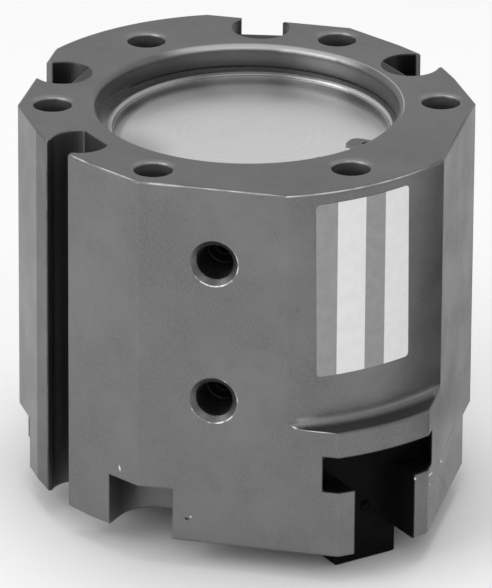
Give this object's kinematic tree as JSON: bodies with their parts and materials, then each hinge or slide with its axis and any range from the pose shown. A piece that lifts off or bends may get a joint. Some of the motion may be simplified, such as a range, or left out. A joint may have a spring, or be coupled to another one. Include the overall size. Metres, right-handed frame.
{
  "type": "pneumatic parallel gripper",
  "caption": "Pneumatic parallel gripper: faceted anodised housing with flange holes, air ports and sensor grooves; a round piston and wedge hook slide the base jaws in a T-slot.",
  "frame": {"origin": "centre of the flange hole circle on the mounting face", "axes": "+Z out of the mounting face towards the robot, Y along the jaw travel, the jaws at -Z, the air ports on the -X -Y flat"},
  "size_m": [0.1044, 0.126, 0.0975],
  "materials": {
    "housing": "hard-anodised, fine matt blast, mid grey",
    "cover": "plain matt aluminium",
    "spring_steel": "bright spring steel",
    "rubber": "black nitrile rubber",
    "bronze": "sintered bronze",
    "plate": "zinc-plated sheet",
    "screws": "blackened steel",
    "piston": "turned aluminium",
    "guide_plastic": "filled plastic",
    "magnet": "bonded ferrite",
    "hardened_steel": "hardened and ground steel",
    "jaw_steel": "black-oxidised hardened steel",
    "label": "printed foil sticker with plain stripes"
  },
  "bodies": {
    "housing": {"housing": "housing", "cylinder_cover": "cover", "cover_retaining_ring": "spring_steel", "cover_o_ring": "rubber", "rod_seal": "rubber", "rod_bush": "bronze", "bottom_cover_plate": "plate", "bottom_cover_screws": "screws"},
    "piston": {"piston": "piston", "piston_seal_upper": "rubber", "piston_seal_lower": "rubber", "piston_guide_ring": "guide_plastic", "piston_magnet": "magnet", "upper_bumper_ring": "rubber", "lower_bumper_ring": "rubber", "wedge_hook": "hardened_steel", "rod_o_ring": "rubber", "piston_screw": "screws", "piston_screw_washer": "screws"},
    "jaw_front": {"base_jaw_front": "jaw_steel"},
    "jaw_rear": {"base_jaw_rear": "jaw_steel"}
  },
  "joints": [
    {"name": "piston_slide", "type": "slide", "parent": "housing", "child": "piston", "axis": [0, 0, 1], "range_m": [0, 0.012]},
    {"name": "jaw_front_slide", "type": "slide", "parent": "housing", "child": "jaw_front", "axis": [0, -1, 0], "range_m": [0, 0.008]},
    {"name": "jaw_rear_slide", "type": "slide", "parent": "housing", "child": "jaw_rear", "axis": [0, 1, 0], "range_m": [0, 0.008]}
  ],
  "couplings": [
    {"joint": "jaw_front_slide", "follows": "piston_slide", "ratio": 0.66667},
    {"joint": "jaw_rear_slide", "follows": "piston_slide", "ratio": 0.66667}
  ]
}
